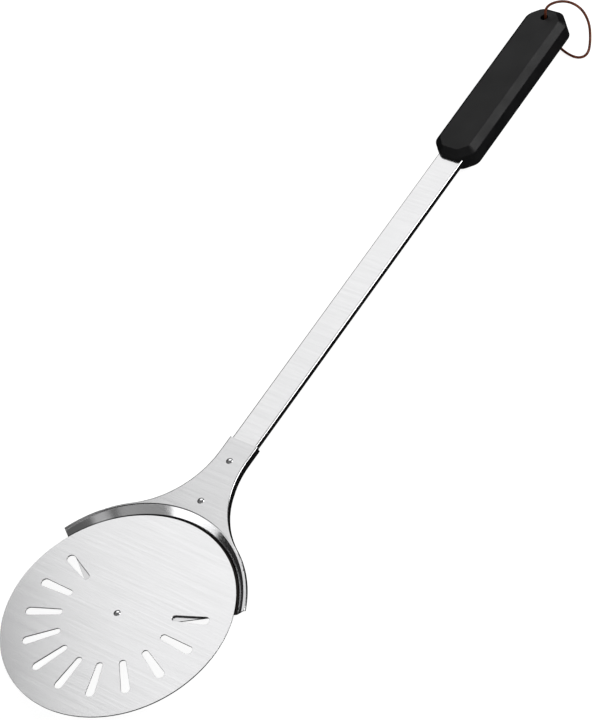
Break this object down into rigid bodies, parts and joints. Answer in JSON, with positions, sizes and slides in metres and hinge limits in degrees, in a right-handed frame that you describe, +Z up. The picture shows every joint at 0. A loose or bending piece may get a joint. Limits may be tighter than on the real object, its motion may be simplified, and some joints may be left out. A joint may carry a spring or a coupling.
{
  "type": "turning pizza peel",
  "caption": "Turning peel with a slotted disc that spins on a pressed steel head, on a flat steel tube with a faceted moulded grip and a leather hanging loop.",
  "frame": {"origin": "centre of the footprint on the table the peel lies on, cord left out", "axes": "+X from the disc to the grip, +Y to the left seen from the disc looking at the grip, +Z up from the table"},
  "size_m": [0.8043, 0.2, 0.0402],
  "materials": {
    "disc_steel": "stainless, fine brushing across the handle's direction",
    "head_steel": "stainless sheet, bright pressed",
    "tube_steel": "stainless flat tube, satin",
    "rivet_steel": "polished dome",
    "washer_steel": "plain stainless",
    "washer_polymer": "low-friction heat-resistant polymer",
    "plug_polymer": "matte",
    "grip_moulding": "fine matte texture",
    "screw_steel": "dark socket screw",
    "cord_leather": "dark brown round lace, waxed"
  },
  "bodies": {
    "handle": {"backing_washer": "washer_steel", "cord_knot": "cord_leather", "disc_washer": "washer_polymer", "grip_body": "grip_moulding", "grip_cover": "grip_moulding", "grip_screws": "screw_steel", "handle_tube": "tube_steel", "hanging_cord": "cord_leather", "head_shell": "head_steel", "neck_rivets": "rivet_steel", "neck_washers": "washer_steel", "pivot_rivet": "rivet_steel", "tube_plug": "plug_polymer", "tube_spacers": "washer_steel"},
    "disc": {"turning_disc": "disc_steel"}
  },
  "joints": [
    {"name": "disc_spin", "type": "hinge", "parent": "handle", "child": "disc", "pos_m": [-0.29731, 0, 0.01072], "axis": [0.0778, 0, 0.997], "continuous": true}
  ]
}
